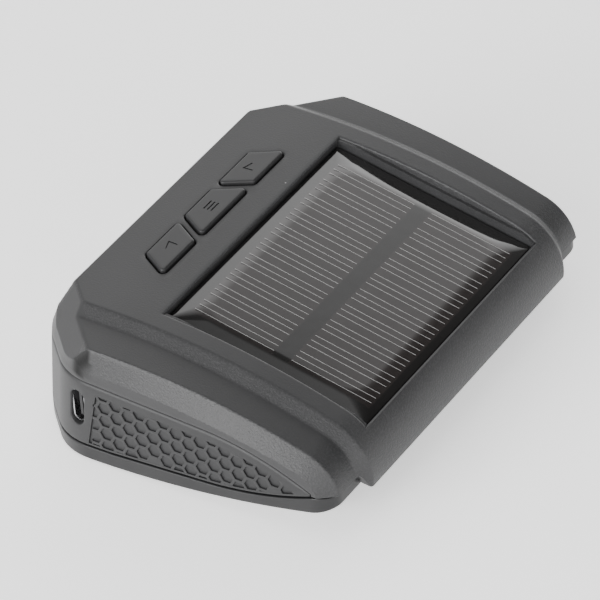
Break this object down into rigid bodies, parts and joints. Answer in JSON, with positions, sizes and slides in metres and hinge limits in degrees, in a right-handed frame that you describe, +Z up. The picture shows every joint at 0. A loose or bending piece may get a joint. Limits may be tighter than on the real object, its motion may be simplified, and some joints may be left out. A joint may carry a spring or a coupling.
{
  "type": "solar speed display",
  "caption": "Dashboard speed display with a sloping solar panel in its arched roof, slanted keys, honeycomb side wings and a charging port; stands on a grip pad.",
  "frame": {"origin": "centre of the bounding box's footprint, on the surface that the grip pad stands on", "axes": "+Z up; -Y out of the display face, towards the driver; +X towards the side with the charging port"},
  "size_m": [0.1094, 0.0862, 0.0341],
  "materials": {
    "case_plastic": "spark-eroded satin",
    "base_plastic": "satin",
    "grip_rubber": "matt",
    "smoked_window": "polished",
    "dark_film": "matt",
    "display_plastic": "matt",
    "panel_laminate": "matt",
    "solar_silicon": "dark cells with silver lines",
    "clear_resin": "clear gloss",
    "sheet_steel": "plain",
    "board_laminate": "solder mask",
    "antenna_ceramic": "matt",
    "chip_resin": "matt",
    "port_steel": "bright",
    "flex_film": "film",
    "battery_foil": "foil",
    "tape_foam": "foam",
    "lead_jacket": "smooth"
  },
  "bodies": {
    "case": {"top_cover": "case_plastic", "side_frame": "case_plastic", "bottom_cover": "base_plastic", "grip_pad": "grip_rubber", "display_window": "smoked_window", "display_film": "dark_film", "led_display": "display_plastic", "panel_board": "panel_laminate", "solar_cells": "solar_silicon", "panel_resin": "clear_resin", "switch_bodies": "sheet_steel", "key_board": "board_laminate", "key_board_screws": "sheet_steel", "gps_antenna": "antenna_ceramic", "gps_module": "sheet_steel", "main_board": "board_laminate", "board_chips": "chip_resin", "port_shell": "port_steel", "port_tongue": "base_plastic", "buzzer": "chip_resin", "key_flex": "flex_film", "battery": "battery_foil", "battery_tape": "tape_foam", "battery_leads": "lead_jacket", "panel_leads": "lead_jacket", "case_screws": "sheet_steel"},
    "up_key": {"key_up": "case_plastic", "stem_up": "base_plastic"},
    "menu_key": {"key_menu": "case_plastic", "stem_menu": "base_plastic"},
    "down_key": {"key_down": "case_plastic", "stem_down": "base_plastic"}
  },
  "joints": [
    {"name": "up_key_press", "type": "slide", "parent": "case", "child": "up_key", "axis": [0, 0, -1], "range_m": [0, 0.0005], "stiffness_N_per_m": 800},
    {"name": "menu_key_press", "type": "slide", "parent": "case", "child": "menu_key", "axis": [0, 0, -1], "range_m": [0, 0.0005], "stiffness_N_per_m": 800},
    {"name": "down_key_press", "type": "slide", "parent": "case", "child": "down_key", "axis": [0, 0, -1], "range_m": [0, 0.0005], "stiffness_N_per_m": 800}
  ]
}
